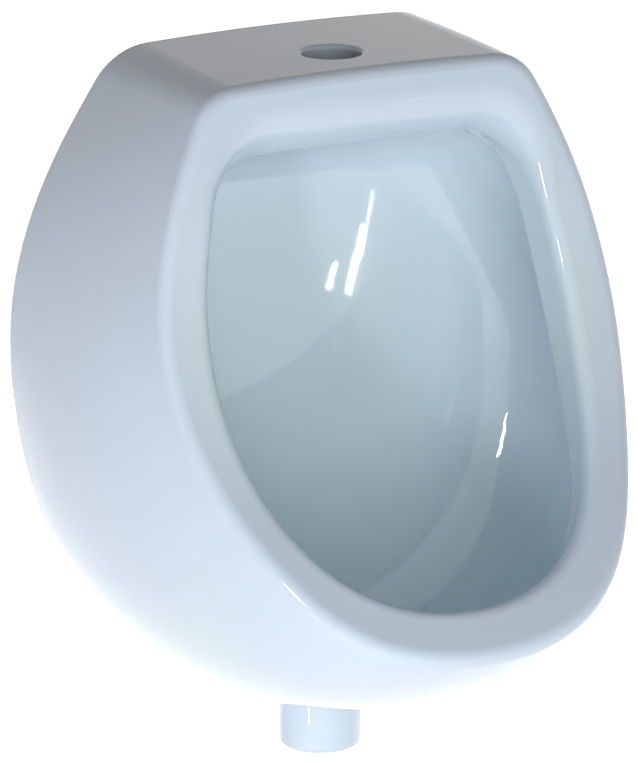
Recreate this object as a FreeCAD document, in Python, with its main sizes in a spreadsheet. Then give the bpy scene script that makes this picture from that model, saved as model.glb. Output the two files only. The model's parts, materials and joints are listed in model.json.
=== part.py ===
import FreeCAD, Part
import math
import os
import Sketcher
from FreeCAD import Placement, Rotation, Vector

# Wall hung urinal of glazed vitreous china. The wall plane is y = 0, the bowl faces -Y, +Z is up and
# the origin lies on the wall plane, midway between the two fixing screws. Heights on the casting are
# measured as drops below its deck.
os.makedirs("parts", exist_ok=True)
doc = FreeCAD.newDocument("urinal")

SIZES = {
    # casting: where the deck lies, and how deep it is from the wall
    "deck_level": 110.0, "deck_depth": 123.8, "deck_crown": 1.8,
    # casting outline at the wall
    "wall_half": 174.5, "wall_widest": 174.5, "wall_foot": 398.5,
    "wall_deck_half": 126.0, "wall_corner": 43.0, "wall_flank": 33.0, "wall_fullness": 0.487,
    # casting outline in front of it: middle, fore and chin sections
    "mid_reach": 110.0, "mid_half": 163.0, "mid_widest": 195.5, "mid_foot": 393.0,
    "mid_deck_half": 117.0, "mid_corner": 30.4, "mid_flank": 30.0, "mid_fullness": 0.554,
    "fore_reach": 200.0, "fore_half": 135.4, "fore_widest": 192.5, "fore_foot": 366.4,
    "fore_deck_half": 106.0, "fore_corner": 29.0, "fore_flank": 15.0, "fore_fullness": 0.66,
    "chin_reach": 290.0, "chin_half": 97.6, "chin_widest": 196.0, "chin_foot": 307.6,
    "chin_deck_half": 73.0, "chin_corner": 27.0, "chin_flank": 16.8, "chin_fullness": 0.535,
    # front face: nearly upright above, swinging forward to the chin
    "face_lean": 10.6, "chin_lean": 42.2, "bend_start": 97.2, "bend_end": 240.6, "face_edge": 8.0,
    # mouth of the bowl and its rolled lip
    "mouth_top": 50.0, "mouth_top_half": 106.5, "mouth_corner": 36.0, "mouth_flank": 14.0,
    "mouth_half": 116.4, "mouth_widest": 158.0, "mouth_foot": 289.0,
    "lip_depth": 40.0, "lip_roll": 8.5, "top_roll": 30.0, "lip_rear": 6.0, "lip_turn": 12.0,
    # bowl behind the lip
    "china_wall": 12.0, "bowl_floor": 13.0, "bowl_ceiling": 45.0, "bowl_corner": 67.0,
    "bowl_back": 40.0, "bowl_sweep": 48.0,
    # flush chamber under the deck
    "deck_wall": 10.0, "chamber_wide": 124.0, "chamber_back": 54.0, "chamber_front": 102.0,
    "ceiling_wall": 12.0, "chamber_round": 8.0,
    # inlet hole in the deck
    "inlet_d": 35.0, "inlet_reach": 77.0, "inlet_round": 2.5,
    # outlet: sump in the bowl floor, spigot and its bore
    "spigot_d": 50.0, "spigot_reach": 61.5, "spigot_end": 434.0, "spigot_round": 4.5,
    "spigot_root": 5.0, "spigot_flare": 6.0, "spigot_bore": 36.0,
    "sump_d": 45.0, "sump_floor": 12.5, "sump_deep": 66.0, "sump_round": 16.0,
    # hollow back
    "back_plate": 10.0, "hollow_depth": 28.0, "back_rim": 16.0, "hollow_top": 24.0,
    "hollow_foot": 350.0, "back_gap_half": 58.0, "back_gap_top": 56.0, "back_gap_round": 24.0,
    # hook windows in the back plate
    "hook_spacing": 200.0, "window_wide": 48.0, "window_tall": 86.0, "window_round": 6.0,
    # hangers on the wall
    "hanger_wide": 40.0, "hanger_gauge": 3.0, "hanger_rise": 27.0, "hanger_drop": 29.0,
    "hanger_lip": 14.0, "hanger_hole": 8.5, "hook_round": 2.5,
    "pad_wide": 38.0, "pad_thick": 2.7, "rest_gap": 0.3,
    # fixing screws, washers and plugs
    "screw_d": 8.0, "screw_reach": 50.0, "screw_hex": 13.0, "screw_head": 5.3,
    "washer_d": 20.0, "washer_thick": 1.6, "washer_hole": 8.6,
    "plug_d": 12.0, "plug_reach": 56.0, "plug_bore": 8.2, "plug_slit": 1.6,
    # spreader, let into the ceiling
    "recess_d": 44.0, "recess_deep": 5.0, "tail_hole": 22.5, "tail_d": 20.8, "tail_bore": 14.0,
    "gasket_thick": 1.5, "spreader_d": 38.0, "spreader_tall": 7.0, "spreader_edge": 2.2,
    "spreader_shell": 2.0, "spreader_slot": 4.0, "tail_rise": 12.0, "nut_hex": 27.0,
    "nut_thick": 6.0, "nut_bore": 21.0, "seal_thick": 2.0, "seal_d": 30.0, "gasket_d": 34.0,
    # strainer in the sump
    "strainer_d": 42.0, "strainer_gauge": 1.5, "strainer_rise": 5.0, "strainer_brim": 18.0,
    "strainer_crown": 12.5, "ring_thick": 3.0, "ring_hole": 37.0, "strainer_hole": 4.4,
    "hole_circle": 8.2, "slot_hole": 3.2, "slot_circle": 15.2,
    "leg_crown": 11.0, "leg_spread": 16.8, "leg_drop": 22.0, "leg_gauge": 1.2, "leg_wide": 8.0,
    "rivet_d": 3.6, "rivet_head": 7.0, "rivet_cap": 1.2,
}
# how full the outlines are: handle lengths as shares of the spans that they bridge
SIDE_LEAVE = 0.20
SIDE_MEET = 0.446
FOOT_FULLNESS = 0.70
MOUTH_FULLNESS = 0.60
# how far a cutter runs past the face that it opens, and the front trim past the casting
PAST = 1.0
TRIM_PAST = 60.0
TRIM_REACH = 800.0
# rows of holes and slots
INNER_HOLES = 8
OUTER_HOLES = 14
SPREADER_SLOTS = 14

sheet = doc.addObject("Spreadsheet::Sheet", "sizes")
for row, (alias, number) in enumerate(SIZES.items(), start=1):
    sheet.set("A%d" % row, alias)
    sheet.set("B%d" % row, str(number))
    sheet.setAlias("B%d" % row, alias)
doc.recompute()


def size(alias):
    return float(sheet.get(alias))


def sized(text):
    # "<name>" terms stand for the named sizes
    out = text
    for alias in sorted(SIZES, key=len, reverse=True):
        out = out.replace("<%s>" % alias, "sizes.%s" % alias)
    return out


# ---------------------------------------------------------------- sketch helpers
def new_body(label):
    body = doc.addObject("PartDesign::Body", label)
    body.Label = label
    return body


def plane_of(body, role):
    return next(item for item in body.Origin.OriginFeatures if item.Role == role)


def new_sketch(body, role, name, offset="0"):
    sketch = body.newObject("Sketcher::SketchObject", name)
    sketch.AttachmentSupport = [(plane_of(body, role), "")]
    sketch.MapMode = "FlatFace"
    if offset != "0":
        sketch.setExpression("AttachmentOffset.Base.z", sized(offset))
    return sketch


def pin_point(sketch, geo, pos, where):
    # a vertex is held at its place from the sketch origin, along both axes
    for kind, axis, text in (("DistanceX", -2, where[0]), ("DistanceY", -1, where[1])):
        if text == "0":
            sketch.addConstraint(Sketcher.Constraint("PointOnObject", geo, pos, axis))
            continue
        index = sketch.addConstraint(Sketcher.Constraint(kind, -1, 1, geo, pos, number(text)))
        sketch.setExpression("Constraints[%d]" % index, sized(text))


def number(text):
    plain = text
    for alias in sorted(SIZES, key=len, reverse=True):
        plain = plain.replace("<%s>" % alias, "(%r)" % size(alias))
    return arithmetic(plain)


def arithmetic(plain):
    # sums and products of plain numbers
    sheet.set("D1", "=" + plain)
    doc.recompute([sheet])
    return float(sheet.get("D1"))


def outline(sketch, points):
    # closed polygon through points given as size terms
    places = [Vector(number(u), number(v), 0) for u, v in points]
    count = len(points)
    first = sketch.GeometryCount
    for i in range(count):
        sketch.addGeometry(Part.LineSegment(places[i], places[(i + 1) % count]), False)
    for i in range(count):
        joint = Sketcher.Constraint("Coincident", first + i, 2, first + (i + 1) % count, 1)
        sketch.addConstraint(joint)
    for i in range(count):
        pin_point(sketch, first + i, 1, points[i])


def circle(sketch, radius, u="0", v="0"):
    place = Vector(number(u), number(v), 0)
    index = sketch.addGeometry(Part.Circle(place, Vector(0, 0, 1), number(radius)), False)
    ring = sketch.addConstraint(Sketcher.Constraint("Radius", index, number(radius)))
    sketch.setExpression("Constraints[%d]" % ring, sized(radius))
    pin_point(sketch, index, 3, (u, v))


def hexagon(sketch, flats):
    corner = "%s/1.7320508" % flats
    half = "%s/3.4641016" % flats
    flat = "%s/2" % flats
    outline(sketch, [(corner, "0"), (half, flat), ("-" + half, flat), ("-" + corner, "0"),
                     ("-" + half, "-" + flat), (half, "-" + flat)])


def pad(body, sketch, length, midplane=False, reverse=False):
    feature = body.newObject("PartDesign::Pad", "Pad")
    feature.Profile = sketch
    feature.setExpression("Length", sized(length))
    feature.SideType = "Symmetric" if midplane else "One side"
    feature.Reversed = reverse
    return feature


def pocket(body, sketch, length, midplane=False, reverse=False):
    feature = body.newObject("PartDesign::Pocket", "Pocket")
    feature.Profile = sketch
    feature.setExpression("Length", sized(length))
    feature.SideType = "Symmetric" if midplane else "One side"
    feature.Reversed = reverse
    return feature


def revolve(body, sketch):
    feature = body.newObject("PartDesign::Revolution", "Revolution")
    feature.Profile = sketch
    feature.ReferenceAxis = (sketch, ["V_Axis"])
    feature.Angle = 360.0
    return feature


def ring_of(body, features, count):
    pattern = body.newObject("PartDesign::PolarPattern", "PolarPattern")
    pattern.Originals = features
    axis = next(item for item in body.Origin.OriginFeatures if item.Role == "Z_Axis")
    pattern.Axis = (axis, [""])
    pattern.Angle = 360.0
    pattern.Occurrences = count
    body.Tip = pattern
    return pattern


def place(thing, x="0", y="0", z="0"):
    for axis, text in (("x", x), ("y", y), ("z", z)):
        if text != "0":
            thing.setExpression("Placement.Base.%s" % axis, sized(text))


# ---------------------------------------------------------------- the china casting
def bezier(*poles):
    curve = Part.BezierCurve()
    curve.setPoles(list(poles))
    return curve


def half_edges(top, widest, foot, half, deck_half, corner, flank, fullness, crown):
    """Right half of an outline, as (x, drop) curves from the top centre to the foot centre."""
    reach = deck_half - corner
    if crown > 0:
        bow = (reach * reach + crown * crown) / (2 * crown)
        tilt = math.asin(reach / bow)
    else:
        tilt = 0.0
    end = Vector(reach, -top - crown, 0)
    middle = end - Vector(math.sin(tilt), math.cos(tilt), 0) * corner

    def on_corner(angle):
        return middle + Vector(math.cos(angle), math.sin(angle), 0) * corner

    lean = math.radians(flank)
    start = math.pi / 2 - tilt
    arc = Part.Arc(end, on_corner((start + lean) / 2), on_corner(lean))
    shoulder = on_corner(lean)
    widest_point = Vector(half, -widest, 0)
    span = shoulder.distanceToPoint(widest_point)
    leave = Vector(math.sin(lean), -math.cos(lean), 0)
    side = bezier(shoulder, shoulder + leave * span * SIDE_LEAVE,
                  widest_point + Vector(0, span * SIDE_MEET, 0), widest_point)
    foot_point = Vector(0, -foot, 0)
    belly = bezier(widest_point, widest_point - Vector(0, (foot - widest) * fullness, 0),
                   foot_point + Vector(half * FOOT_FULLNESS, 0, 0), foot_point)
    return end, [arc, side, belly]


def closed_outline(top, widest, foot, half, deck_half, corner, flank, fullness, crown=0.0):
    end, right = half_edges(top, widest, foot, half, deck_half, corner, flank, fullness, crown)
    mirrored = Vector(-end.x, end.y, 0)
    if crown > 0:
        lid = Part.Arc(mirrored, Vector(0, -top, 0), end).toShape()
    else:
        lid = Part.LineSegment(mirrored, end).toShape()
    right = [curve.toShape() for curve in right]
    left = [edge.mirror(Vector(0, 0, 0), Vector(1, 0, 0)) for edge in reversed(right)]
    return [lid] + right + left


def stand_up(edges, reach):
    """Puts an (x, drop) outline upright, at a distance in front of the wall."""
    wire = Part.Wire(Part.__sortEdges__(edges))
    wire.rotate(Vector(0, 0, 0), Vector(1, 0, 0), 90)
    wire.translate(Vector(0, -reach, 0))
    return wire


SECTIONS = ("wall", "mid", "fore", "chin")


def section_reach(name):
    return 0.0 if name == "wall" else size(name + "_reach")


def casting_section(name):
    edges = closed_outline(0.0, size(name + "_widest"), size(name + "_foot"), size(name + "_half"),
                           size(name + "_deck_half"), size(name + "_corner"), size(name + "_flank"),
                           size(name + "_fullness"), size("deck_crown"))
    return stand_up(edges, section_reach(name))


def bowl_section(name):
    wall = size("china_wall")
    edges = closed_outline(size("bowl_ceiling"), size(name + "_widest"),
                           size(name + "_foot") - size("bowl_floor"), size(name + "_half") - wall,
                           size(name + "_deck_half"), size("bowl_corner"), size(name + "_flank"),
                           size(name + "_fullness"))
    return stand_up(edges, section_reach(name))


def face_profile():
    """Front face in side view as (reach, drop) points: a line, an arc and a line."""
    upper = math.radians(size("face_lean"))
    lower = math.radians(size("chin_lean"))
    start = size("bend_start")
    end = size("bend_end")
    radius = (end - start) / (math.sin(lower) - math.sin(upper))
    a = (size("deck_depth") + start * math.tan(upper), start)
    centre = (a[0] + radius * math.cos(upper), a[1] - radius * math.sin(upper))
    return upper, lower, radius, a, centre


def face_point(drop):
    """Reach of the front face and its lean, at a drop below the deck."""
    upper, lower, radius, a, centre = face_profile()
    if drop <= size("bend_start"):
        return a[0] - (a[1] - drop) * math.tan(upper), upper
    if drop <= size("bend_end"):
        lean = math.asin((drop - centre[1]) / radius)
        return centre[0] - radius * math.cos(lean), lean
    last = centre[0] - radius * math.cos(lower)
    return last + (drop - size("bend_end")) * math.tan(lower), lower


def in_front_of_face(back):
    """Everything in front of the face, moved back by a distance: the tool that trims the front."""
    def at(drop):
        reach, lean = face_point(drop)
        return Vector(0, -(reach - back), -drop)

    above = Vector(0, math.tan(math.radians(size("face_lean"))) * TRIM_PAST, TRIM_PAST)
    foot = size("wall_foot") + TRIM_PAST
    drops = [foot * i / 24.0 for i in range(25)]
    bend = Part.BSplineCurve()
    bend.interpolate([at(0.0) + above] + [at(drop) for drop in drops])
    top = bend.StartPoint
    low = bend.EndPoint
    edges = [
        bend.toShape(),
        Part.LineSegment(low, Vector(0, -TRIM_REACH, low.z)).toShape(),
        Part.LineSegment(Vector(0, -TRIM_REACH, low.z), Vector(0, -TRIM_REACH, top.z)).toShape(),
        Part.LineSegment(Vector(0, -TRIM_REACH, top.z), top).toShape(),
    ]
    face = Part.Face(Part.Wire(edges))
    half = size("wall_half") + TRIM_PAST
    face.translate(Vector(-half, 0, 0))
    return face.extrude(Vector(2 * half, 0, 0))


def mouth_points():
    """The mouth's sharp outline as (x, drop) points from the top right corner round to the lid."""
    end, right = half_edges(size("mouth_top"), size("mouth_widest"), size("mouth_foot"),
                            size("mouth_half"), size("mouth_top_half"), size("mouth_corner"),
                            size("mouth_flank"), MOUTH_FULLNESS, 0.0)
    rim = []
    for curve, steps in zip(right, (6, 8, 14)):
        first, last = curve.FirstParameter, curve.LastParameter
        rim += [curve.value(first + (last - first) * i / steps) for i in range(steps)]
    foot = [Vector(0, -size("mouth_foot"), 0)]
    lid = [Vector(end.x * t / 3.0, end.y, 0) for t in (-2, -1, 0, 1, 2)]
    points = rim + foot + [Vector(-p.x, p.y, 0) for p in reversed(rim)] + lid
    settled = 8
    return points, (0, settled, len(rim), 2 * len(rim) - settled, 2 * len(rim))


def mouth_ring(flat):
    """The mouth carried square to the face's bend, forward or back, to a plane off the wall."""
    points, splits = mouth_points()
    spread = size("chin_lean") - size("face_lean")
    mapped = []
    along = [0.0]
    for i, p in enumerate(points):
        reach, lean = face_point(-p.y)
        dip = (lean - math.radians(size("face_lean"))) * size("chin_lean") / spread
        mapped.append(Vector(p.x, -flat, p.y - (reach - flat) * math.tan(dip)))
        along.append(along[-1] + p.distanceToPoint(points[(i + 1) % len(points)]))
    curve = Part.BSplineCurve()
    curve.interpolate(Points=mapped, Parameters=along, PeriodicFlag=True)
    edges = []
    for start, stop in zip(splits, splits[1:] + (len(mapped),)):
        piece = curve.copy()
        piece.segment(along[start], along[stop])
        edges.append(piece.toShape())
    return edges


def mouth():
    """The plug that opens the mouth, its sides ruled square to the face, ended inside the bowl."""
    fore = mouth_ring(size("chin_reach") + 10 * PAST)
    rear = mouth_ring(size("bowl_back") + 2 * PAST)
    sides = [Part.makeRuledSurface(a, b) for a, b in zip(fore, rear)]
    caps = [Part.Face(Part.Wire(fore)), Part.Face(Part.Wire(rear))]
    plug = Part.Solid(Part.makeShell(sides + caps))
    plug.fix(1e-4, 1e-4, 1e-4)
    return plug.common(in_front_of_face(size("lip_depth") + size("lip_turn"))).Solids[0]


def upright_prism(edges, back, front):
    """An (x, drop) outline filled between two distances off the wall."""
    face = Part.Face(stand_up(edges, back))
    return face.extrude(Vector(0, back - front, 0))


def upright_box(x, half, top, foot, back, front, rounding):
    """A rounded window through the back plate."""
    block = Part.makeBox(2 * half, front - back, foot - top, Vector(x - half, -front, -foot))
    corners = [e for e in block.Edges if abs(e.Vertexes[0].Y - e.Vertexes[1].Y) > 1e-6]
    return block.makeFillet(rounding, corners)


def post(diameter, reach, top, foot):
    """An upright cylinder between two drops."""
    return Part.makeCylinder(diameter / 2, foot - top, Vector(0, -reach, -foot))


def in_face(point):
    reach, lean = face_point(-point.z)
    return abs(point.y + reach) < 0.05


def middle_of(edge):
    return edge.valueAt((edge.FirstParameter + edge.LastParameter) / 2)


def outer_shell():
    """The casting's outside: sections lofted off the wall, trimmed by the face, edge rounded."""
    body = Part.makeLoft([casting_section(name) for name in SECTIONS], True, False)
    body = body.cut(in_front_of_face(0.0))
    rim = [e for e in body.Edges if in_face(middle_of(e)) and all(in_face(v.Point) for v in e.Vertexes)]
    return body.makeFillet(size("face_edge"), rim).Solids[0]


def bowl_space():
    """The bowl behind the lip, swept round into its back wall by one large fillet."""
    space = Part.makeLoft([bowl_section(name) for name in SECTIONS], True, False)
    back = size("bowl_back")
    span = 2 * size("wall_half")
    behind = Part.makeBox(2 * span, back, 3 * span, Vector(-span, -back, -2 * span))
    space = space.cut(behind)
    seam = [e for e in space.Edges if all(abs(v.Y + back) < 1e-3 for v in e.Vertexes)]
    space = space.makeFillet(size("bowl_sweep"), seam)
    space = space.cut(in_front_of_face(size("lip_depth")))
    depth = size("lip_depth")
    turn = []
    for e in space.Edges:
        spot = middle_of(e)
        if abs(spot.y + face_point(-spot.z)[0] - depth) < 0.1:
            turn.append(e)
    return space.makeFillet(size("lip_turn"), turn).Solids[0]


def spigot():
    """The outlet stub: straight for its sleeve, and flared above, where it grows out of the belly."""
    radius = size("spigot_d") / 2
    stub = post(size("spigot_d"), size("spigot_reach"), size("wall_foot"), size("spigot_end"))
    low = [e for e in stub.Edges if abs(middle_of(e).z + size("spigot_end")) < 1e-6]
    stub = stub.makeFillet(size("spigot_round"), low)
    root = size("wall_foot") + size("spigot_root")
    flare = Part.makeCone(radius, radius + size("spigot_flare"), 5 * size("spigot_root"),
                          Vector(0, -size("spigot_reach"), -root))
    return stub.fuse(flare)


def shape_object(label, shape):
    thing = doc.addObject("Part::Feature", label)
    thing.Label = label
    thing.Shape = shape
    return thing


def china_blank():
    body = outer_shell().fuse(spigot())
    return body.cut(bowl_space()).cut(mouth()).Solids[0]


def on_mouth(spot, outline_wire):
    flat = Part.Vertex(Vector(spot.x, spot.z, 0))
    return outline_wire.distToShape(flat)[0] < 1.0


def roll_edges(shape):
    """Edges of the mouth with the roll's radius at each end: wide along the top, tighter below."""
    points, splits = mouth_points()
    loop = Part.makePolygon(points + points[:1])
    top = size("mouth_top")
    wide = size("top_roll")
    tight = size("lip_roll")
    picked = []
    for index, edge in enumerate(shape.Edges, start=1):
        ends = [v.Point for v in edge.Vertexes]
        if len(ends) < 2 or not in_face(middle_of(edge)) or not on_mouth(middle_of(edge), loop):
            continue
        drops = [-p.z for p in ends]
        if max(drops) < top + 1.0:
            picked.append((index, wide, wide))
        elif min(drops) < top + 1.0:
            picked.append((index, wide, tight))
        else:
            picked.append((index, tight, tight))
    return sorted(picked, key=lambda item: -item[1] - item[2])


def rear_edges(shape):
    """Rear edges of the lip, where the mouth opens into the bowl."""
    depth = size("lip_depth")
    picked = []
    for edge in shape.Edges:
        spot = middle_of(edge)
        on_rear = abs(spot.y + face_point(-spot.z)[0] - depth) < 0.2
        inside = abs(spot.x) < size("mouth_half") and -spot.z < size("mouth_foot") + depth * 0.6
        if on_rear and inside:
            picked.append(edge)
    return picked


def finish_casting(body):
    """Recess, chamber, inlet, sump, bore and the hollow back with its two hook windows."""
    inlet = size("inlet_reach")
    seat = size("bowl_ceiling") - size("recess_deep")
    cuts = [post(size("recess_d"), inlet, seat, size("bowl_ceiling") + size("bowl_sweep") / 2)]
    floor = size("bowl_ceiling") - size("ceiling_wall")
    deep = size("chamber_front") - size("chamber_back")
    room = Part.makeBox(size("chamber_wide"), deep, floor - size("deck_wall"),
                        Vector(-size("chamber_wide") / 2, -size("chamber_front"), -floor))
    cuts.append(room.makeFillet(size("chamber_round"), room.Edges))
    cuts.append(post(size("inlet_d"), inlet, -PAST, size("deck_wall") + PAST))
    cuts.append(post(size("tail_hole"), inlet, floor - PAST, seat + PAST))
    seat = size("wall_foot") - size("sump_floor")
    well = post(size("sump_d"), size("spigot_reach"), seat - size("sump_deep"), seat)
    brim = [e for e in well.Edges if abs(middle_of(e).z + seat - size("sump_deep")) < 1e-6]
    cuts.append(well.makeFillet(size("sump_round"), brim))
    cuts.append(post(size("spigot_bore"), size("spigot_reach"), seat - PAST,
                     size("spigot_end") + PAST))
    rim = size("back_rim")
    hollow = upright_prism(closed_outline(
        size("hollow_top"), size("wall_widest"), size("wall_foot") - rim, size("wall_half") - rim,
        size("wall_deck_half") - rim, size("wall_corner") - rim, size("wall_flank"),
        size("wall_fullness")), size("back_plate"), size("hollow_depth"))
    span = 2 * size("wall_half")
    keep = Part.makeBox(2 * span, span, span, Vector(-span, -span, -size("hollow_foot") - span))
    cuts.append(hollow.cut(keep))
    gap = size("back_gap_half")
    plate = size("back_plate")
    cuts.append(upright_box(0.0, gap, size("back_gap_top"), size("hollow_foot") - rim, -PAST,
                            plate + PAST, size("back_gap_round")))
    bar = size("deck_level") - size("hanger_rise") - size("pad_thick") - size("rest_gap")
    for side in (-1, 1):
        cuts.append(upright_box(side * size("hook_spacing") / 2, size("window_wide") / 2, bar,
                                bar + size("window_tall"), -PAST, plate + PAST,
                                size("window_round")))
    body = body.cut(cuts).Solids[0]
    mouths = []
    for edge in body.Edges:
        spot = middle_of(edge)
        aside = math.hypot(spot.x, spot.y + inlet)
        if abs(spot.z) < 3.0 and abs(aside - size("inlet_d") / 2) < 0.1:
            mouths.append(edge)
    return body.makeFillet(size("inlet_round"), mouths).Solids[0]


blank = shape_object("china_blank", china_blank())
roll = doc.addObject("Part::Fillet", "mouth_roll")
roll.Base = blank
roll.Edges = roll_edges(blank.Shape)
doc.recompute()
rolled = roll.Shape.Solids[0]
rolled = rolled.makeFillet(size("lip_rear"), rear_edges(rolled))
ceramic_body = shape_object("ceramic_body", finish_casting(rolled))
ceramic_body.Placement = Placement(Vector(0, 0, size("deck_level")), Rotation())


# ---------------------------------------------------------------- hangers and their fixings
def plane_sketch_body(label, role):
    body = new_body(label)
    return body, new_sketch(body, role, label + "_profile")


def hanger(label, side):
    """Pressed steel hook plate: flat on the wall, a seat under the china's bar, a lip before it."""
    body, sketch = plane_sketch_body(label, "YZ_Plane")
    seat = "<back_plate>+<pad_thick>+<rest_gap>"
    outline(sketch, [("0", "-<hanger_drop>"), ("0", "<hanger_rise>"),
                     ("-(%s)" % seat, "<hanger_rise>"), ("-(%s)" % seat, "<hanger_rise>+<hanger_lip>"),
                     ("-(%s+<hanger_gauge>)" % seat, "<hanger_rise>+<hanger_lip>"),
                     ("-(%s+<hanger_gauge>)" % seat, "<hanger_rise>-<hanger_gauge>"),
                     ("-<hanger_gauge>", "<hanger_rise>-<hanger_gauge>"),
                     ("-<hanger_gauge>", "-<hanger_drop>")])
    plate = pad(body, sketch, "<hanger_wide>", midplane=True)
    doc.recompute()
    outer = -(size("back_plate") + size("pad_thick") + size("rest_gap") + size("hanger_gauge"))
    low = size("hanger_rise") - size("hanger_gauge")
    bends = []
    for index, edge in enumerate(plate.Shape.Edges, start=1):
        spot = middle_of(edge)
        bend = abs(spot.y - outer) < 1e-6 and abs(spot.z - low) < 1e-6
        foot = abs(abs(spot.x) - size("hanger_wide") / 2) < 1e-6 and edge.Length < size("hanger_gauge") + 0.1
        tip = abs(spot.z - size("hanger_rise") - size("hanger_lip")) < 1e-6
        if bend or (foot and (tip or abs(spot.z + size("hanger_drop")) < 1e-6)):
            bends.append("Edge%d" % index)
    rounded = body.newObject("PartDesign::Fillet", "Fillet")
    rounded.Base = (plate, bends)
    rounded.setExpression("Radius", sized("<hook_round>"))
    doc.recompute()
    hole = new_sketch(body, "XZ_Plane", label + "_hole")
    circle(hole, "<hanger_hole>/2")
    pocket(body, hole, "<hanger_gauge>*3", midplane=True)
    place(body, x="%s<hook_spacing>/2" % side)
    return body


def hook_pad(label, side):
    """Rubber pad lining the hook, so that the china never bears on steel."""
    body, sketch = plane_sketch_body(label, "YZ_Plane")
    seat = "<back_plate>+<pad_thick>+<rest_gap>"
    inner = "<back_plate>+<rest_gap>"
    outline(sketch, [("0", "<hanger_rise>"), ("-(%s)" % seat, "<hanger_rise>"),
                     ("-(%s)" % seat, "<hanger_rise>+<hanger_lip>-1"),
                     ("-(%s)" % inner, "<hanger_rise>+<hanger_lip>-1"),
                     ("-(%s)" % inner, "<hanger_rise>+<pad_thick>"),
                     ("0", "<hanger_rise>+<pad_thick>")])
    pad(body, sketch, "<pad_wide>", midplane=True)
    place(body, x="%s<hook_spacing>/2" % side)
    return body


def part_cylinder(name, radius, height, angle=None):
    thing = doc.addObject("Part::Cylinder", name)
    thing.setExpression("Radius", sized(radius))
    thing.setExpression("Height", sized(height))
    if angle is not None:
        thing.Placement = angle
    return thing


def boolean(kind, name, base, tool):
    thing = doc.addObject("Part::%s" % kind, name)
    thing.Base = base
    thing.Tool = tool
    return thing


INTO_WALL = Placement(Vector(0, 0, 0), Rotation(Vector(1, 0, 0), -90))


def fixing_screw(name, side):
    """Hexagon-head wood screw through the hanger into its plug."""
    shank = part_cylinder(name + "_shank", "<screw_d>/2", "<screw_reach>+<hanger_gauge>+<washer_thick>",
                          INTO_WALL)
    place(shank, x="%s<hook_spacing>/2" % side, y="-(<hanger_gauge>+<washer_thick>)")
    head = doc.addObject("Part::Prism", name + "_head")
    head.Polygon = 6
    head.setExpression("Circumradius", sized("<screw_hex>/1.7320508"))
    head.setExpression("Height", sized("<screw_head>"))
    head.Placement = INTO_WALL
    place(head, x="%s<hook_spacing>/2" % side,
          y="-(<hanger_gauge>+<washer_thick>+<screw_head>)")
    return boolean("Fuse", name, shank, head)


def fixing_washer(name, side):
    disc = part_cylinder(name + "_disc", "<washer_d>/2", "<washer_thick>", INTO_WALL)
    hole = part_cylinder(name + "_hole", "<washer_hole>/2", "<washer_thick>*3", INTO_WALL)
    place(disc, x="%s<hook_spacing>/2" % side, y="-(<hanger_gauge>+<washer_thick>)")
    place(hole, x="%s<hook_spacing>/2" % side, y="-(<hanger_gauge>+<washer_thick>*2)")
    return boolean("Cut", name, disc, hole)


def wall_plug(name, side):
    """Nylon sleeve in the wall, slit from its inner end so that it spreads."""
    sleeve = part_cylinder(name + "_sleeve", "<plug_d>/2", "<plug_reach>", INTO_WALL)
    bore = part_cylinder(name + "_bore", "<plug_bore>/2", "<plug_reach>-2", INTO_WALL)
    slit = doc.addObject("Part::Box", name + "_slit")
    slit.setExpression("Length", sized("<plug_slit>"))
    slit.setExpression("Width", sized("<plug_reach>*0.6"))
    slit.setExpression("Height", sized("<plug_d>*2"))
    place(sleeve, x="%s<hook_spacing>/2" % side)
    place(bore, x="%s<hook_spacing>/2" % side)
    place(slit, x="%s<hook_spacing>/2-<plug_slit>/2" % side, y="<plug_reach>*0.5", z="-<plug_d>")
    return boolean("Cut", name, boolean("Cut", name + "_tube", sleeve, bore), slit)


def group(label, members):
    thing = doc.addObject("Part::Compound", label)
    thing.Label = label
    thing.Links = members
    return thing


hangers = [hanger("hanger_left", "-"), hanger("hanger_right", "")]
hook_pads = [hook_pad("hook_pad_left", "-"), hook_pad("hook_pad_right", "")]
screws = group("hanger_screws", [fixing_screw("screw_left", "-"), fixing_screw("screw_right", "")])
washers = group("hanger_washers", [fixing_washer("washer_left", "-"),
                                   fixing_washer("washer_right", "")])
plugs = group("wall_plugs", [wall_plug("plug_left", "-"), wall_plug("plug_right", "")])


# ---------------------------------------------------------------- flush spreader
def turned(label, points, x="0", y="0", z="0"):
    """A turned piece: its half section, as (radius, height), revolved about the upright axis."""
    body, sketch = plane_sketch_body(label, "XZ_Plane")
    outline(sketch, points)
    revolve(body, sketch)
    place(body, x, y, z)
    return body


INLET_Y = "-<inlet_reach>"
SEAT = "<deck_level>-<bowl_ceiling>+<recess_deep>"
CHAMBER_FLOOR = "<deck_level>-<bowl_ceiling>+<ceiling_wall>"

spreader_gasket = turned("spreader_gasket", [
    ("<tail_hole>/2", "0"), ("<gasket_d>/2", "0"), ("<gasket_d>/2", "-<gasket_thick>"),
    ("<tail_hole>/2", "-<gasket_thick>")], y=INLET_Y, z=SEAT)

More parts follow.
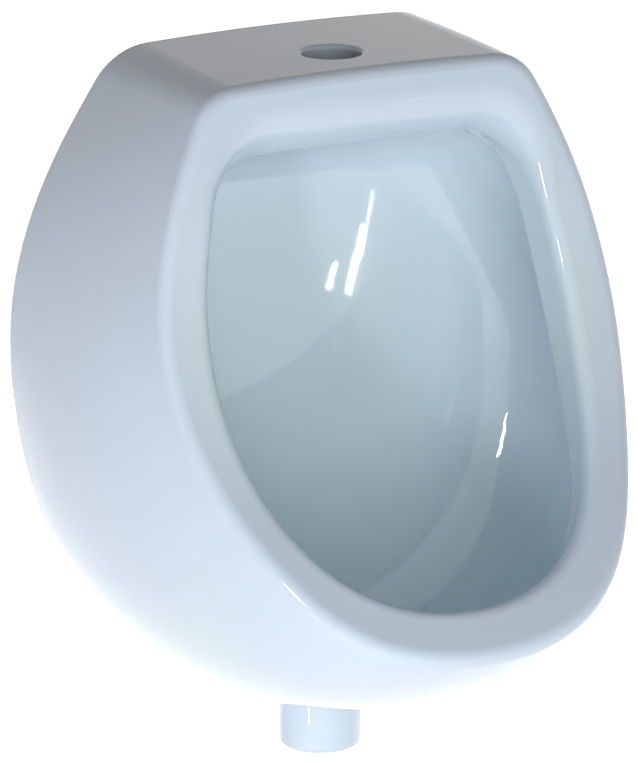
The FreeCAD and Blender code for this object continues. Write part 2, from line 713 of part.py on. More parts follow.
shell_r = "<spreader_d>/2-<spreader_shell>"
spreader_head = turned("spreader_head", [
    ("<tail_d>/2", "0"), ("<spreader_d>/2", "0"),
    ("<spreader_d>/2", "-(<spreader_tall>-<spreader_edge>)"),
    ("<spreader_d>/2-<spreader_edge>", "-<spreader_tall>"), ("0", "-<spreader_tall>"),
    ("0", "-(<spreader_tall>-<spreader_shell>)"),
    (shell_r, "-(<spreader_tall>-<spreader_shell>)"), (shell_r, "-<spreader_shell>"),
    ("<tail_d>/2", "-<spreader_shell>")],
    y=INLET_Y, z=SEAT + "-<gasket_thick>")
slot = new_sketch(spreader_head, "YZ_Plane", "spreader_slot")
outline(slot, [("<spreader_slot>*0.5", "-<spreader_shell>"),
               ("<spreader_slot>*0.5", "-(<spreader_tall>-<spreader_shell>)"),
               ("-<spreader_slot>*0.5", "-(<spreader_tall>-<spreader_shell>)"),
               ("-<spreader_slot>*0.5", "-<spreader_shell>")])
first_slot = pocket(spreader_head, slot, "<spreader_d>", reverse=True)
ring_of(spreader_head, [first_slot], SPREADER_SLOTS)

spreader_tail = turned("spreader_tail", [
    ("<tail_bore>/2", "-(<gasket_thick>+<spreader_shell>)"),
    ("<tail_d>/2", "-(<gasket_thick>+<spreader_shell>)"),
    ("<tail_d>/2", "<ceiling_wall>-<recess_deep>+<tail_rise>"),
    ("<tail_bore>/2", "<ceiling_wall>-<recess_deep>+<tail_rise>")],
    y=INLET_Y, z=SEAT)

spreader_seal = turned("spreader_seal", [
    ("<tail_hole>/2", "0"), ("<seal_d>/2", "0"), ("<seal_d>/2", "<seal_thick>"),
    ("<tail_hole>/2", "<seal_thick>")], y=INLET_Y, z=CHAMBER_FLOOR)

spreader_nut, nut_sketch = plane_sketch_body("spreader_nut", "XY_Plane")
hexagon(nut_sketch, "<nut_hex>")
circle(nut_sketch, "<nut_bore>/2")
pad(spreader_nut, nut_sketch, "<nut_thick>")
place(spreader_nut, y=INLET_Y, z=CHAMBER_FLOOR + "+<seal_thick>")

# ---------------------------------------------------------------- strainer over the outlet
OUTLET_Y = "-<spigot_reach>"
SUMP = "<deck_level>-<wall_foot>+<sump_floor>"

strainer_ring = turned("strainer_ring", [
    ("<ring_hole>/2", "0"), ("<strainer_d>/2", "0"), ("<strainer_d>/2", "<ring_thick>"),
    ("<ring_hole>/2", "<ring_thick>")], y=OUTLET_Y, z=SUMP)

strainer_cap = turned("strainer_cap", [
    ("0", "<strainer_rise>"), ("<strainer_crown>", "<strainer_rise>"),
    ("<strainer_brim>", "0"), ("<strainer_d>/2", "0"), ("<strainer_d>/2", "<strainer_gauge>"),
    ("<strainer_brim>", "<strainer_gauge>"),
    ("<strainer_crown>", "<strainer_rise>+<strainer_gauge>"),
    ("0", "<strainer_rise>+<strainer_gauge>")], y=OUTLET_Y, z=SUMP + "+<ring_thick>")
drain = new_sketch(strainer_cap, "XY_Plane", "strainer_holes")
circle(drain, "<strainer_hole>/2", u="<hole_circle>")
first_hole = pocket(strainer_cap, drain, "<strainer_rise>*4", midplane=True)
ring_of(strainer_cap, [first_hole], INNER_HOLES)
edge_drain = new_sketch(strainer_cap, "XY_Plane", "edge_holes")
circle(edge_drain, "<slot_hole>/2", u="<slot_circle>")
first_edge = pocket(strainer_cap, edge_drain, "<strainer_rise>*4", midplane=True)
ring_of(strainer_cap, [first_edge], OUTER_HOLES)
eye = new_sketch(strainer_cap, "XY_Plane", "rivet_hole")
circle(eye, "<rivet_d>/2")
pocket(strainer_cap, eye, "<strainer_rise>*4", midplane=True)

strainer_legs, legs_sketch = plane_sketch_body("strainer_legs", "XZ_Plane")
crown = "<ring_thick>+<strainer_rise>"
outline(legs_sketch, [
    ("-<leg_spread>", "-<leg_drop>"), ("-<leg_spread>", "<ring_thick>-<leg_gauge>"),
    ("-<leg_crown>", crown), ("<leg_crown>", crown),
    ("<leg_spread>", "<ring_thick>-<leg_gauge>"), ("<leg_spread>", "-<leg_drop>"),
    ("<leg_spread>-<leg_gauge>", "-<leg_drop>"),
    ("<leg_spread>-<leg_gauge>", "<ring_thick>-<leg_gauge>*1.4"),
    ("<leg_crown>-<leg_gauge>*0.6", "%s-<leg_gauge>" % crown),
    ("-(<leg_crown>-<leg_gauge>*0.6)", "%s-<leg_gauge>" % crown),
    ("-(<leg_spread>-<leg_gauge>)", "<ring_thick>-<leg_gauge>*1.4"),
    ("-(<leg_spread>-<leg_gauge>)", "-<leg_drop>")])
pad(strainer_legs, legs_sketch, "<leg_wide>", midplane=True)
leg_eye = new_sketch(strainer_legs, "XY_Plane", "leg_eye")
circle(leg_eye, "<rivet_d>/2")
pocket(strainer_legs, leg_eye, "<strainer_d>", midplane=True)
place(strainer_legs, y=OUTLET_Y, z=SUMP)

cap_top = "<ring_thick>+<strainer_rise>+<strainer_gauge>"
cap_low = "<ring_thick>+<strainer_rise>-<leg_gauge>"
strainer_rivet = turned("strainer_rivet", [
    ("0", "%s-<rivet_cap>" % cap_low), ("<rivet_head>*0.36", "%s-<rivet_cap>" % cap_low),
    ("<rivet_head>/2", "%s-<rivet_cap>*0.4" % cap_low), ("<rivet_head>/2", cap_low),
    ("<rivet_d>/2", cap_low), ("<rivet_d>/2", cap_top), ("<rivet_head>/2", cap_top),
    ("<rivet_head>/2", "%s+<rivet_cap>*0.4" % cap_top),
    ("<rivet_head>*0.36", "%s+<rivet_cap>" % cap_top), ("0", "%s+<rivet_cap>" % cap_top)],
    y=OUTLET_Y, z=SUMP)

# ---------------------------------------------------------------- check and write
doc.recompute()
pieces = [ceramic_body] + hangers + hook_pads + [screws, washers, plugs, spreader_gasket,
          spreader_head, spreader_tail, spreader_seal, spreader_nut, strainer_ring, strainer_cap,
          strainer_legs, strainer_rivet]
for thing in doc.Objects:
    if "Invalid" in thing.State or "Error" in thing.State:
        raise RuntimeError("%s failed: %s" % (thing.Name, thing.State))
for piece in pieces:
    if piece.Shape.isNull() or not piece.Shape.isValid():
        raise RuntimeError("%s has no valid shape" % piece.Label)
for piece in pieces:
    box = piece.Shape.BoundBox
    print("%-16s %d solid(s) %9.0f mm3  x %.1f..%.1f y %.1f..%.1f z %.1f..%.1f" % (
        piece.Label, len(piece.Shape.Solids), piece.Shape.Volume,
        box.XMin, box.XMax, box.YMin, box.YMax, box.ZMin, box.ZMax))
    piece.Shape.exportStep("parts/%s.step" % piece.Label)
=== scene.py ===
"""Wall hung urinal: the finished look of its china body, fixings, flush spreader and strainer."""
from __future__ import annotations

import json
import logging
import math
from dataclasses import dataclass, field
from enum import Enum

import bmesh
import bpy
from mathutils import Matrix, Quaternion, Vector

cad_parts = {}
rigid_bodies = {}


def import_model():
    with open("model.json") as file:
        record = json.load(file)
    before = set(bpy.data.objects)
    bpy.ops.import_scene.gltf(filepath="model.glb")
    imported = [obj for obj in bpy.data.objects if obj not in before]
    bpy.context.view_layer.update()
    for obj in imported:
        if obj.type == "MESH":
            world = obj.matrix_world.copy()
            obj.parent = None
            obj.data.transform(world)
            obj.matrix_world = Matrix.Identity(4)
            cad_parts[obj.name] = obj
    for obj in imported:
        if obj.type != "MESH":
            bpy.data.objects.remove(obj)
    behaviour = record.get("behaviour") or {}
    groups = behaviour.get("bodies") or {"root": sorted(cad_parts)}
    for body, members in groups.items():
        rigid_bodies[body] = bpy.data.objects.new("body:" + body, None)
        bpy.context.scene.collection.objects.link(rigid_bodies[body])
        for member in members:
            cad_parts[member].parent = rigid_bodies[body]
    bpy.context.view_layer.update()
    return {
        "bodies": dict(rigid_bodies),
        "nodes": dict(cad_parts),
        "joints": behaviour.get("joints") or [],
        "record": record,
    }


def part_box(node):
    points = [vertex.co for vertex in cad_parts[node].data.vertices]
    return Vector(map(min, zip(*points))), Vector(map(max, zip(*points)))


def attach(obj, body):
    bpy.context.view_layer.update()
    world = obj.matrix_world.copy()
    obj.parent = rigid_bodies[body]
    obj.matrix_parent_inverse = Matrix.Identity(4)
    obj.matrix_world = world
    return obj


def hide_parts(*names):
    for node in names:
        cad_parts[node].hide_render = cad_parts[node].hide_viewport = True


LOG = logging.getLogger("urinal")
MERGE = 1e-6
BUMP_SHARE = 0.3
WHITE = (1.0, 1.0, 1.0)

Colour = tuple[float, float, float]
Point = tuple[float, float, float]
Span = tuple[float, float]
Socket = bpy.types.NodeSocket


class Body(Enum):
    """The bodies of the model that new pieces ride on."""

    WALL = "wall_fixings"


# ---------------------------------------------------------------- node trees


class Nodes:
    """A node tree, with short calls for adding and joining its nodes."""

    def __init__(self, tree: bpy.types.NodeTree) -> None:
        """Empties the tree and keeps it."""
        self.tree = tree
        self.tree.nodes.clear()

    def node(self, kind: str, **settings: object) -> bpy.types.Node:
        """Adds a node.

        Args:
            kind: the node's type name.
            **settings: properties of the node, by name.

        Returns:
            The new node.
        """
        made = self.tree.nodes.new(kind)
        for key, value in settings.items():
            setattr(made, key, value)
        return made

    def link(self, source: Socket, target: Socket) -> None:
        """Joins an output socket to an input socket."""
        self.tree.links.new(source, target)

    def math(self, operation: str, first: Socket, second: Socket | float = 0.0) -> Socket:
        """Adds a Math node.

        Args:
            operation: its operation, such as MULTIPLY.
            first: its first value.
            second: its second value, a socket or a number.

        Returns:
            The socket with the result.
        """
        made = self.node("ShaderNodeMath", operation=operation)
        self.link(first, made.inputs[0])
        if isinstance(second, Socket):
            self.link(second, made.inputs[1])
        else:
            made.inputs[1].default_value = second
        return made.outputs[0]

    def seen(self) -> Socket:
        """Tells what the camera sees from what only lights the scene.

        Returns:
            The socket with 1 where the camera looks straight, in a mirror or through glass.
        """
        path = self.node("ShaderNodeLightPath")
        mirrored = self.math("MAXIMUM", path.outputs["Is Glossy Ray"],
                             path.outputs["Is Transmission Ray"])
        return self.math("MAXIMUM", path.outputs["Is Camera Ray"], mirrored)


class Shader(Nodes):
    """A new material's node tree, with short calls for the nodes that the finishes share."""

    def __init__(self, name: str) -> None:
        """Makes an empty material, with its output node.

        Args:
            name: the material's name.
        """
        self.material = bpy.data.materials.new(name)
        self.material.use_nodes = True
        super().__init__(self.material.node_tree)
        self.output = self.node("ShaderNodeOutputMaterial")
        self.coords = self.node("ShaderNodeTexCoord").outputs["Object"]

    def axis(self, name: str) -> Socket:
        """Reads one of the piece's own coordinates.

        Args:
            name: X, Y or Z.

        Returns:
            The socket with the coordinate, in metres.
        """
        parts = self.node("ShaderNodeSeparateXYZ")
        self.link(self.coords, parts.inputs["Vector"])
        return parts.outputs[name]

    def noise(self, scale: float, detail: float = 2.0, roughness: float = 0.5,
              stretch: Point = (1.0, 1.0, 1.0)) -> Socket:
        """Adds noise on the piece's own coordinates.

        Args:
            scale: cells to the metre.
            detail: how many finer layers it has.
            roughness: how strong the finer layers are.
            stretch: a scale for each axis, for brushed or drawn patterns.

        Returns:
            The socket with its value, from 0 to 1.
        """
        mapping = self.node("ShaderNodeMapping")
        mapping.inputs["Scale"].default_value = stretch
        made = self.node("ShaderNodeTexNoise")
        made.inputs["Scale"].default_value = scale
        made.inputs["Detail"].default_value = detail
        made.inputs["Roughness"].default_value = roughness
        self.link(self.coords, mapping.inputs["Vector"])
        self.link(mapping.outputs["Vector"], made.inputs["Vector"])
        return made.outputs["Fac"]

    def remap(self, source: Socket, span: Span, onto: Span = (0.0, 1.0)) -> Socket:
        """Maps a value smoothly from one range to another.

        Args:
            source: the value.
            span: the values that become the two ends of the new range.
            onto: the new range.

        Returns:
            The socket with the new value.
        """
        made = self.node("ShaderNodeMapRange", interpolation_type="SMOOTHSTEP")
        names = ("From Min", "From Max", "To Min", "To Max")
        for name, value in zip(names, (*span, *onto)):
            made.inputs[name].default_value = value
        self.link(source, made.inputs["Value"])
        return made.outputs["Result"]

    def mix(self, share: Socket, first: Colour | Socket, second: Colour | Socket) -> Socket:
        """Mixes two colours.

        Args:
            share: how much of the second there is, from 0 to 1.
            first: a colour or a socket.
            second: a colour or a socket.

        Returns:
            The socket with the mixed colour.
        """
        made = self.node("ShaderNodeMix", data_type="RGBA")
        self.link(share, made.inputs["Factor"])
        for socket, value in ((made.inputs[6], first), (made.inputs[7], second)):
            if isinstance(value, Socket):
                self.link(value, socket)
            else:
                socket.default_value = (*value, 1.0)
        return made.outputs[2]

    def bump(self, height: Socket, strength: float, distance: float,
             under: Socket | None = None) -> Socket:
        """Adds a bump.

        Args:
            height: the height, from 0 to 1.
            strength: how much of it shows.
            distance: how many metres a height of 1 stands up.
            under: another bump's normal, which this one goes on.

        Returns:
            The socket with the normal.
        """
        made = self.node("ShaderNodeBump")
        made.inputs["Strength"].default_value = strength
        made.inputs["Distance"].default_value = distance
        self.link(height, made.inputs["Height"])
        if under is not None:
            self.link(under, made.inputs["Normal"])
        return made.outputs["Normal"]

    def surface(self, colour: Socket, roughness: Socket, normal: Socket,
                **constants: float) -> bpy.types.Material:
        """Adds the surface itself.

        Args:
            colour: its base colour.
            roughness: how rough it is.
            normal: its bump.
            **constants: other values, with underscores for the blanks in their names.

        Returns:
            The finished material.
        """
        shader = self.node("ShaderNodeBsdfPrincipled")
        for key, value in (("Base Color", colour), ("Roughness", roughness), ("Normal", normal)):
            self.link(value, shader.inputs[key])
        for key, value in constants.items():
            shader.inputs[key.replace("_", " ")].default_value = value
        self.link(shader.outputs["BSDF"], self.output.inputs["Surface"])
        return self.material


# ---------------------------------------------------------------- finishes


@dataclass(frozen=True)
class WhiteGlaze:
    """Fired white glaze on vitreous china, left off the ground rear rim, and cooler in the bowl,
    where the tint is partly thicker glaze and partly painted bounce light.

    The spans say between which two places, in metres on the casting, a share goes from 0 to 1.
    """

    name: str = "white_glaze"
    colour: Colour = (0.71, 0.80, 0.90)
    shade: Colour = (0.69, 0.78, 0.88)
    # greener, lighter tint in the bowl: partly thicker glaze, partly painted bounce light
    pooled_and_painted_bounce: Colour = (0.72, 0.83, 0.87)
    biscuit: Colour = (0.70, 0.66, 0.60)
    chalk: Colour = (0.78, 0.74, 0.69)
    cloud_scale: float = 9.0
    cloud: Span = (0.35, 0.70)
    gloss: float = 0.012
    smear: float = 0.02
    smear_scale: float = 22.0
    smear_span: Span = (0.3, 0.75)
    bare_roughness: float = 0.75
    bare_scale: float = 1400.0
    wave_scale: float = 26.0
    wave: Span = (0.35, 0.00012)
    peel_scale: float = 420.0
    peel: Span = (0.10, 0.000012)
    behind_face: Span = (-0.215, -0.150)
    before_hollow: Span = (-0.020, -0.035)
    under_ceiling: Span = (0.09, -0.05)
    over_foot: Span = (-0.288, -0.278)
    within_sides: Span = (0.150, 0.120)
    rear_rim: Span = (-0.0016, -0.0006)

    def in_bowl(self, shader: Shader) -> Socket:
        """Finds the bowl.

        Args:
            shader: the material's tree.

        Returns:
            The socket with 1 in the bowl and 0 outside it.
        """
        across = shader.math("ABSOLUTE", shader.axis("X"))
        places = ((across, self.within_sides), (shader.axis("Z"), self.under_ceiling),
                  (shader.axis("Z"), self.over_foot), (shader.axis("Y"), self.before_hollow))
        share = shader.remap(shader.axis("Y"), self.behind_face)
        for place, span in places:
            share = shader.math("MULTIPLY", share, shader.remap(place, span))
        return share

    def build(self) -> bpy.types.Material:
        """Makes the material.

        Returns:
            The finished material.
        """
        s = Shader(self.name)
        glaze = s.mix(s.remap(s.noise(self.cloud_scale), self.cloud), self.colour, self.shade)
        # painted light, in part: the bowl gets a greener tint that stands partly for thicker glaze
        # and partly for painted bounce light
        glaze = s.mix(self.in_bowl(s), glaze, self.pooled_and_painted_bounce)
        bare = s.remap(s.axis("Y"), self.rear_rim)
        ground = s.mix(s.noise(self.bare_scale, 3.0), self.biscuit, self.chalk)
        smear = s.remap(s.noise(self.smear_scale, 3.0), self.smear_span,
                        (self.gloss, self.gloss + self.smear))
        rough = s.math("ADD", smear, s.math("MULTIPLY", bare, self.bare_roughness))
        waves = s.bump(s.noise(self.wave_scale, 1.0), *self.wave)
        peel = s.bump(s.noise(self.peel_scale, 1.0), *self.peel, waves)
        return s.surface(s.mix(bare, glaze, ground), rough, peel, IOR=1.5)


@dataclass(frozen=True)
class Plated:
    """A plated or bare metal with fine drawn lines and slight clouding."""

    name: str
    colour: Colour
    dull: Colour
    roughness: float = 0.3
    lines: Point = (1.0, 1.0, 12.0)
    line_depth: float = 0.00001
    line_scale: float = 350.0
    line_span: Span = (0.25, 0.75)
    line_spread: Span = (0.75, 1.3)
    cloud_scale: float = 70.0
    cloud: Span = (0.35, 0.7)

    def build(self) -> bpy.types.Material:
        """Makes the material.

        Returns:
            The finished material.
        """
        s = Shader(self.name)
        clouds = s.remap(s.noise(self.cloud_scale, 4.0), self.cloud)
        streak = s.noise(self.line_scale, 3.0, 0.6, self.lines)
        smooth, coarse = (self.roughness * share for share in self.line_spread)
        rough = s.remap(streak, self.line_span, (smooth, coarse))
        return s.surface(s.mix(clouds, self.colour, self.dull), rough,
                         s.bump(streak, BUMP_SHARE, self.line_depth), Metallic=1.0)


@dataclass(frozen=True)
class Moulded:
    """A moulded rubber or plastic with a fine skin."""

    name: str
    colour: Colour
    worn: Colour
    roughness: float = 0.6
    skin_scale: float = 900.0
    skin_depth: float = 0.00003
    skin_span: Span = (0.2, 0.8)
    skin_spread: Span = (-0.08, 0.1)
    cloud_scale: float = 60.0
    cloud: Span = (0.35, 0.75)

    def build(self) -> bpy.types.Material:
        """Makes the material.

        Returns:
            The finished material.
        """
        s = Shader(self.name)
        clouds = s.remap(s.noise(self.cloud_scale, 3.0), self.cloud)
        skin = s.noise(self.skin_scale, 3.0)
        smooth, coarse = (self.roughness + step for step in self.skin_spread)
        rough = s.remap(skin, self.skin_span, (smooth, coarse))
        return s.surface(s.mix(clouds, self.colour, self.worn), rough,
                         s.bump(skin, BUMP_SHARE, self.skin_depth))


ZINC = Plated("bright_zinc", (0.62, 0.63, 0.65), (0.50, 0.52, 0.55), 0.34, (1.0, 12.0, 1.0))
SCREW_ZINC = Plated("screw_zinc", (0.60, 0.60, 0.61), (0.46, 0.47, 0.50), 0.30)
CHROME = Plated("polished_chrome", (0.80, 0.81, 0.83), (0.74, 0.76, 0.79), 0.06,
                lines=(1.0, 1.0, 1.0), line_depth=0.000002)
BRASS = Plated("turned_brass", (0.72, 0.58, 0.30), (0.60, 0.47, 0.24), 0.28, (1.0, 1.0, 14.0))
STAINLESS = Plated("brushed_stainless", (0.66, 0.66, 0.67), (0.56, 0.56, 0.58), 0.26,
                   (14.0, 1.0, 1.0))
RUBBER = Moulded("black_rubber", (0.030, 0.030, 0.032), (0.055, 0.055, 0.058), 0.62)
NYLON = Moulded("grey_nylon", (0.50, 0.51, 0.53), (0.58, 0.59, 0.61), 0.48)


# ---------------------------------------------------------------- shared calls


def dress(frame: dict, material: bpy.types.Material, *nodes: str) -> None:
    """Gives carried-over nodes a finish.

    Args:
        material: the finish.
        *nodes: the nodes' names.
    """
    for name in nodes:
        piece = frame["nodes"][name]
        if not piece.material_slots:
            piece.data.materials.append(None)
        for slot in piece.material_slots:
            slot.link = "OBJECT"
            slot.material = material
        LOG.info("dressed %s with %s", name, material.name)


def mesh_object(name: str, shape: bmesh.types.BMesh) -> bpy.types.Object:
    """Turns a bmesh into an object in the scene.

    Args:
        name: the name of the object and of its mesh.
        shape: the bmesh, which is freed.

    Returns:
        The new object.
    """
    mesh = bpy.data.meshes.new(name)
    shape.to_mesh(mesh)
    shape.free()
    made = bpy.data.objects.new(name, mesh)
    bpy.context.scene.collection.objects.link(made)
    return made


def turned_to(direction: Vector) -> Quaternion:
    """Returns the turn that makes a lamp or camera look along a direction."""
    return direction.to_track_quat("-Z", "Y")


# ---------------------------------------------------------------- sub-assemblies


@dataclass
class ChinaBody:
    """The one-piece vitreous china casting."""

    glaze: WhiteGlaze = field(default_factory=WhiteGlaze)

    def build(self, frame: dict) -> None:
        """Dresses the casting."""
        dress(frame, self.glaze.build(), "ceramic_body")


@dataclass
class PlugSleeve:
    """The nylon plugs: a plain collar, ribs behind it and a slit inner end, which spreads.

    Its lengths are metres. rib_rise, rib_fall and collar_gap are shares of the ribs' pitch.
    """

    name: str = "ribbed_plugs"
    radius: float = 0.0060
    root: float = 0.0053
    bore: float = 0.0041
    reach: float = 0.056
    collar: float = 0.008
    collar_gap: float = 0.2
    ribs: int = 10
    rib_rise: float = 0.25
    rib_fall: float = 0.40
    slit: float = 0.0016
    slit_start: float = 0.028
    tip: float = 0.002
    steps: int = 40

    def mouths(self) -> list[Vector]:
        """Reads where the plugs are from the box of the model's own.

        Returns:
            The middle of each plug's mouth, on the wall plane.
        """
        low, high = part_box("wall_plugs")
        reach = high[0] - self.radius
        return [Vector((side * reach, 0.0, (low[2] + high[2]) / 2)) for side in (-1, 1)]

    def section(self) -> list[Span]:
        """Draws half of a plug, cut along its axis.

        Returns:
            The corners of the closed half section, as radius and depth.
        """
        pitch = (self.reach - self.collar) / self.ribs
        line = [(self.bore, 0.0), (self.radius, 0.0),
                (self.radius, self.collar - self.collar_gap * pitch)]
        for rib in range(self.ribs):
            foot = self.collar + rib * pitch
            line += [(self.root, foot), (self.radius, foot + self.rib_rise * pitch),
                     (self.radius, foot + self.rib_fall * pitch)]
        inner = self.reach - self.tip
        return line + [(self.root, self.reach), (0.0, self.reach), (0.0, inner), (self.bore, inner)]

    def sleeves(self, mouths: list[Vector]) -> bpy.types.Object:
        """Turns the sleeves from their section, without their slits.

        Args:
            mouths: where they are.

        Returns:
            The object with all the sleeves.
        """
        shape = bmesh.new()
        for mouth in mouths:
            corners = [mouth + Vector((radius, depth, 0.0)) for radius, depth in self.section()]
            rim = [shape.verts.new(corner) for corner in corners]
            edges = [shape.edges.new((a, b)) for a, b in zip(rim, rim[1:] + rim[:1])]
            bmesh.ops.spin(shape, geom=rim + edges, cent=mouth, axis=(0.0, 1.0, 0.0),
                           angle=math.tau, steps=self.steps, use_merge=True, use_duplicate=False)
        bmesh.ops.remove_doubles(shape, verts=shape.verts, dist=MERGE)
        bmesh.ops.recalc_face_normals(shape, faces=shape.faces)
        return mesh_object(self.name, shape)

    def slitter(self, mouths: list[Vector]) -> bpy.types.Object:
        """Makes the bars that cut the slits.

        Args:
            mouths: where the sleeves are.

        Returns:
            The object with all the bars.
        """
        shape = bmesh.new()
        length = self.reach - self.slit_start + self.tip
        for mouth in mouths:
            middle = mouth + Vector((0.0, self.slit_start + length / 2, 0.0))
            size = Matrix.Diagonal((self.slit, length, 4 * self.radius, 1.0))
            place = Matrix.Translation(middle) @ size
            bmesh.ops.create_cube(shape, size=1.0, matrix=place)
        return mesh_object("plug_slitter", shape)

    def build(self, finish: bpy.types.Material) -> None:
        """Makes both sleeves where the model's plugs are, and lets them stand for those.

        Args:
            finish: their material.
        """
        mouths = self.mouths()
        plugs, bars = self.sleeves(mouths), self.slitter(mouths)
        cut = plugs.modifiers.new("slit", "BOOLEAN")
        cut.operation, cut.object = "DIFFERENCE", bars
        graph = bpy.context.evaluated_depsgraph_get()
        plugs.data = bpy.data.meshes.new_from_object(plugs.evaluated_get(graph))
        plugs.modifiers.clear()
        bpy.data.objects.remove(bars)
        plugs.data.materials.clear()
        plugs.data.materials.append(finish)
        plugs.data.name = plugs.name
        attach(plugs, Body.WALL.value)
        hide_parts("wall_plugs")
        LOG.info("made %s with %d faces", plugs.name, len(plugs.data.polygons))


@dataclass
class WallFixings:
    """The two hangers with their screws, washers and plugs, and every rubber piece."""

    plugs: PlugSleeve = field(default_factory=PlugSleeve)

    def build(self, frame: dict) -> None:
        """Dresses the metal and the rubber, and makes the plugs.
        """
        dress(frame, ZINC.build(), "hanger_left", "hanger_right")
        dress(frame, SCREW_ZINC.build(), "hanger_screws", "hanger_washers")
        dress(frame, RUBBER.build(), "hook_pad_left", "hook_pad_right", "spreader_gasket",
              "spreader_seal", "strainer_ring")
        self.plugs.build(NYLON.build())


@dataclass
class FlushSpreader:
    """The metal of the spreader under the flush chamber, with its tail and nut."""

    def build(self, frame: dict) -> None:
        """Dresses the spreader."""
        dress(frame, CHROME.build(), "spreader_head")
        dress(frame, BRASS.build(), "spreader_tail", "spreader_nut")


@dataclass
class WasteStrainer:
    """The metal of the strainer in the sump of the bowl."""

    def build(self, frame: dict) -> None:
        """Dresses the strainer."""
        dress(frame, STAINLESS.build(), "strainer_cap", "strainer_legs", "strainer_rivet")


# ---------------------------------------------------------------- camera, floor and light


@dataclass
class Viewpoint:
    """The camera, at the photograph's angle, distance and framing."""

    target: Point = (0.0, -0.100, -0.090)
    azimuth: float = -27.63
    elevation: float = 16.54
    distance: float = 4.080
    focal_pixels: float = 6887.0
    target_pixel: Span = (349.6, 388.0)
    frame_pixels: tuple[int, int] = (638, 763)
    sensor: float = 36.0
    far: float = 100.0

    @property
    def back(self) -> Vector:
        """The direction from the target to the camera."""
        turn, rise = math.radians(self.azimuth), math.radians(self.elevation)
        level = math.cos(rise)
        return Vector((math.sin(turn) * level, -math.cos(turn) * level, math.sin(rise)))

    @property
    def right(self) -> Vector:
        """The direction to the right of the picture, which is level."""
        turn = math.radians(self.azimuth)
        return Vector((math.cos(turn), math.sin(turn), 0.0))

    @property
    def place(self) -> Vector:
        """The camera's place."""
        return Vector(self.target) + self.back * self.distance

    def mirrored(self, pixel: Span, wall: float, away: float) -> tuple[Vector, Vector]:
        """Follows a pixel's ray to an upright wall and back off it.

        Args:
            pixel: the pixel, in the photograph's frame.
            wall: the wall's Y.
            away: how far to go on after the wall.

        Returns:
            The point reached, and the point on the wall.
        """
        up = self.back.cross(self.right)
        ray = (self.right * (pixel[0] - self.target_pixel[0])
               + up * (self.target_pixel[1] - pixel[1])
               - self.back * self.focal_pixels).normalized()
        struck = self.place + ray * ((wall - self.place.y) / ray.y)
        return struck + Vector((ray.x, -ray.y, ray.z)) * away, struck

    def build(self) -> None:
        """Makes the camera and gives it to the scene."""
        data = bpy.data.cameras.new("camera")
        data.sensor_width = self.sensor
        tall = max(self.frame_pixels)
        data.lens = self.sensor * self.focal_pixels / tall
        data.shift_x = (self.frame_pixels[0] / 2 - self.target_pixel[0]) / tall
        data.shift_y = (self.target_pixel[1] - self.frame_pixels[1] / 2) / tall
        data.clip_end = self.far
        camera = bpy.data.objects.new("camera", data)
        camera.location = self.place
        camera.rotation_mode = "QUATERNION"
        camera.rotation_quaternion = turned_to(-self.back)
        bpy.context.scene.collection.objects.link(camera)
        bpy.context.scene.camera = camera


def hang_lamp(name: str, size: Span, power: float, place: Vector, turn: Quaternion,
              colour: Colour = WHITE, mirrored: bool = True) -> None:
    """Hangs a rectangular lamp that the camera doesn't see straight.

    Args:
        name: its name.
        size: its width and height.
        power: its power, in watts.
        place: where it hangs.
        turn: which way it looks.
        colour: its colour.
        mirrored: whether shiny pieces mirror it.
    """
    data = bpy.data.lights.new(name, "AREA")
    data.shape = "RECTANGLE"
    data.size, data.size_y = size
    data.energy = power
    data.color = colour
    lamp = bpy.data.objects.new(name, data)
    lamp.location = place
    lamp.rotation_mode = "QUATERNION"
    lamp.rotation_quaternion = turn
    lamp.visible_camera = False
    lamp.visible_glossy = mirrored
    bpy.context.scene.collection.objects.link(lamp)


@dataclass(frozen=True)
class Lamp:
    """A soft rectangular lamp that faces a point."""

    name: str
    place: Point
    faces: Point
    size: Span
    strength: float
    colour: Colour = WHITE
    mirrored: bool = False

    def build(self) -> None:
        """Makes the lamp. Its strength is what a white face turned to it, at the point, shows."""
        ray = Vector(self.faces) - Vector(self.place)
        power = self.strength * math.pi ** 2 * ray.length ** 2
        hang_lamp(self.name, self.size, power, Vector(self.place), turned_to(ray), self.colour,
                  self.mirrored)


@dataclass(frozen=True)
class Pane:
    """A small bright pane whose reflection is a streak on the back wall of the bowl."""

    name: str
    top_pixel: Span
    foot_pixel: Span
    width_pixels: float
    bright: float = 30.0
    wall: float = -0.040
    away: float = 2.0

    def build(self, view: Viewpoint) -> None:
        """Makes the pane where the wall mirrors it to the camera, between its two pixels.

        Args:
            view: the camera that the pixels belong to.
        """
        top, first = view.mirrored(self.top_pixel, self.wall, self.away)
        foot, second = view.mirrored(self.foot_pixel, self.wall, self.away)
        upright = (top - foot).normalized()
        outward = ((top + foot - first - second) / 2).normalized()
        across = upright.cross(outward).normalized()
        turn = Matrix((across, upright, across.cross(upright))).transposed().to_quaternion()
        width = self.width_pixels / view.focal_pixels * (view.distance + self.away)
        height = (top - foot).length
        power = self.bright * math.pi * width * height
        hang_lamp(self.name, (width, height), power, (top + foot) / 2, turn)


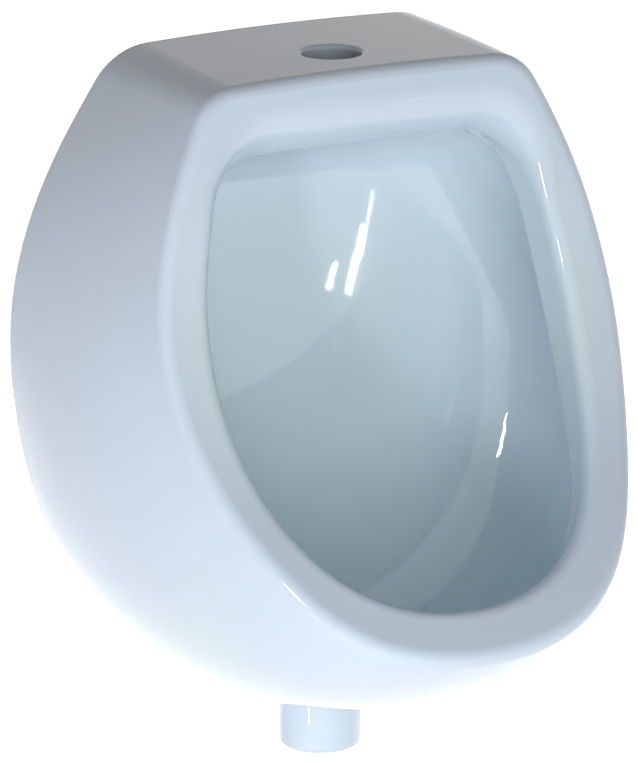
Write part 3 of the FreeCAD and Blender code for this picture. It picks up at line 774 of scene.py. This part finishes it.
@dataclass
class Studio:
    """The pale floor, the white background and the soft lamps."""

    floor_level: float = -0.90
    floor_half: float = 14.0
    floor_paint: float = 0.86
    floor_glow: float = 0.84
    floor_sun: float = 0.6
    floor_sun_spread: float = 0.6
    sky: Colour = (0.070, 0.070, 0.074)
    lamps: tuple[Lamp, ...] = (
        Lamp("front_panel", place=(-0.5, -2.9, 0.25), faces=(0.0, -0.15, -0.10),
             size=(2.2, 2.0), strength=0.50, colour=(0.95, 1.0, 1.02)),
        Lamp("side_panel", place=(-1.65, -0.20, -0.82), faces=(0.0, -0.12, -0.10),
             size=(1.3, 1.3), strength=0.30, colour=(0.98, 0.98, 1.05)),
        Lamp("low_panel", place=(0.0, -0.40, -0.87), faces=(0.0, -0.15, -0.30),
             size=(1.2, 1.2), strength=0.06, colour=(1.0, 0.96, 1.05)),
        Lamp("rear_panel", place=(0.6, 2.6, -0.30), faces=(0.0, 0.0, -0.10),
             size=(2.0, 1.2), strength=0.45),
        Lamp("right_panel", place=(2.0, 0.30, -0.25), faces=(0.0, -0.05, -0.10),
             size=(1.2, 1.2), strength=0.26, colour=(0.98, 0.99, 1.03)),
        Lamp("left_window", place=(-1.40, -1.25, -0.08), faces=(0.0, -0.15, -0.10),
             size=(0.14, 0.30), strength=0.17, colour=(0.97, 0.99, 1.05), mirrored=True),
        Lamp("low_window", place=(-1.45, -0.96, -0.84), faces=(0.0, -0.10, -0.30),
             size=(0.07, 0.10), strength=0.03, mirrored=True),
    )
    panes: tuple[Pane, ...] = (
        Pane("tall_pane", (362.0, 228.0), (347.0, 292.0), 8.0),
        Pane("short_pane", (336.0, 260.0), (329.0, 288.0), 4.0),
        Pane("slim_pane", (372.0, 190.0), (366.0, 226.0), 2.0),
    )

    def background(self) -> None:
        """Makes the world: white where it is seen, and a soft even light otherwise."""
        world = bpy.data.worlds.new("studio")
        bpy.context.scene.world = world
        world.use_nodes = True
        tree = Nodes(world.node_tree)
        both = tree.node("ShaderNodeMixShader")
        tree.link(tree.seen(), both.inputs[0])
        for socket, colour in ((both.inputs[1], self.sky), (both.inputs[2], WHITE)):
            light = tree.node("ShaderNodeBackground")
            light.inputs["Color"].default_value = (*colour, 1.0)
            tree.link(light.outputs[0], socket)
        output = tree.node("ShaderNodeOutputWorld")
        tree.link(both.outputs[0], output.inputs["Surface"])

    def floor(self) -> bpy.types.Object:
        """Lays the floor, which keeps the object's shadow.

        Returns:
            The floor.
        """
        s = Shader("pale_floor")
        paint = s.node("ShaderNodeBsdfDiffuse")
        paint.inputs["Color"].default_value = (*(self.floor_paint,) * 3, 1.0)
        glow = s.node("ShaderNodeEmission")
        s.link(s.math("MULTIPLY", s.seen(), self.floor_glow), glow.inputs["Strength"])
        both = s.node("ShaderNodeAddShader")
        s.link(paint.outputs[0], both.inputs[0])
        s.link(glow.outputs[0], both.inputs[1])
        s.link(both.outputs[0], s.output.inputs["Surface"])
        shape = bmesh.new()
        bmesh.ops.create_grid(shape, x_segments=1, y_segments=1, size=self.floor_half,
                              matrix=Matrix.Translation((0.0, 0.0, self.floor_level)))
        floor = mesh_object("floor", shape)
        floor.data.materials.append(s.material)
        return floor

    def sun(self, floor: bpy.types.Object) -> None:
        """Hangs the floor's own sun, which lights the floor alone and casts the shadow on it.

        Args:
            floor: the floor.
        """
        data = bpy.data.lights.new("floor_sun", "SUN")
        data.energy, data.angle = self.floor_sun, self.floor_sun_spread
        sun = bpy.data.objects.new("floor_sun", data)
        sun.visible_glossy = False
        bpy.context.scene.collection.objects.link(sun)
        lit = bpy.data.collections.new("lit_floor")
        lit.objects.link(floor)
        sun.light_linking.receiver_collection = lit

    def build(self, view: Viewpoint) -> None:
        """Makes the background, the floor and the lamps.

        Args:
            view: the camera that the panes are placed for.
        """
        self.background()
        floor = self.floor()
        for lamp in self.lamps:
            lamp.build()
        for pane in self.panes:
            pane.build(view)
        self.sun(floor)


def main() -> None:
    """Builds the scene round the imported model."""
    logging.basicConfig(level=logging.INFO, format="%(name)s: %(message)s")
    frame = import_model()
    scene = bpy.context.scene
    scene.view_settings.view_transform = "Standard"
    view = Viewpoint()
    view.build()
    Studio().build(view)
    for assembly in (ChinaBody(), WallFixings(), FlushSpreader(), WasteStrainer()):
        assembly.build(frame)
        LOG.info("built %s", type(assembly).__name__)


if __name__ == "__main__":
    main()
